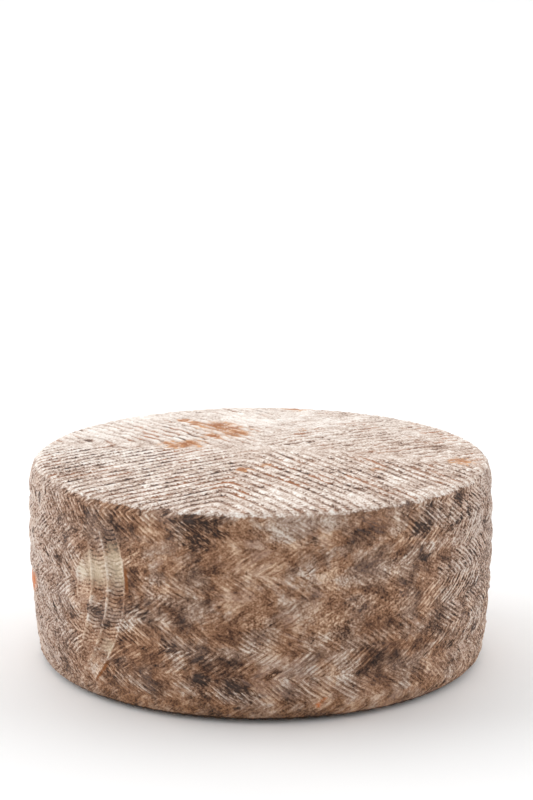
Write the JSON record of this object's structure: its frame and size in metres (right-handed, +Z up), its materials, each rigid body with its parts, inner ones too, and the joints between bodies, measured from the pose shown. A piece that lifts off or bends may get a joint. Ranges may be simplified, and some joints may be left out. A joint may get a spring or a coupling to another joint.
{
  "type": "cheese wheel",
  "caption": "Round wheel of pressed, cured cheese: low drum with a barrelled, herringbone-printed side, rounded edges and a gently domed, ridged top.",
  "frame": {"origin": "centre of the flat base, where the wheel stands", "axes": "+Z up along the wheel's axis, -Y towards the side that is seen first, +X to its right"},
  "size_m": [0.2198, 0.2198, 0.099],
  "materials": {
    "rind": "dry natural rind, matt: tan to pinkish brown on the side, paler with white bloom on the top"
  },
  "bodies": {
    "root": {"cheese_wheel": "rind"}
  },
  "joints": []
}
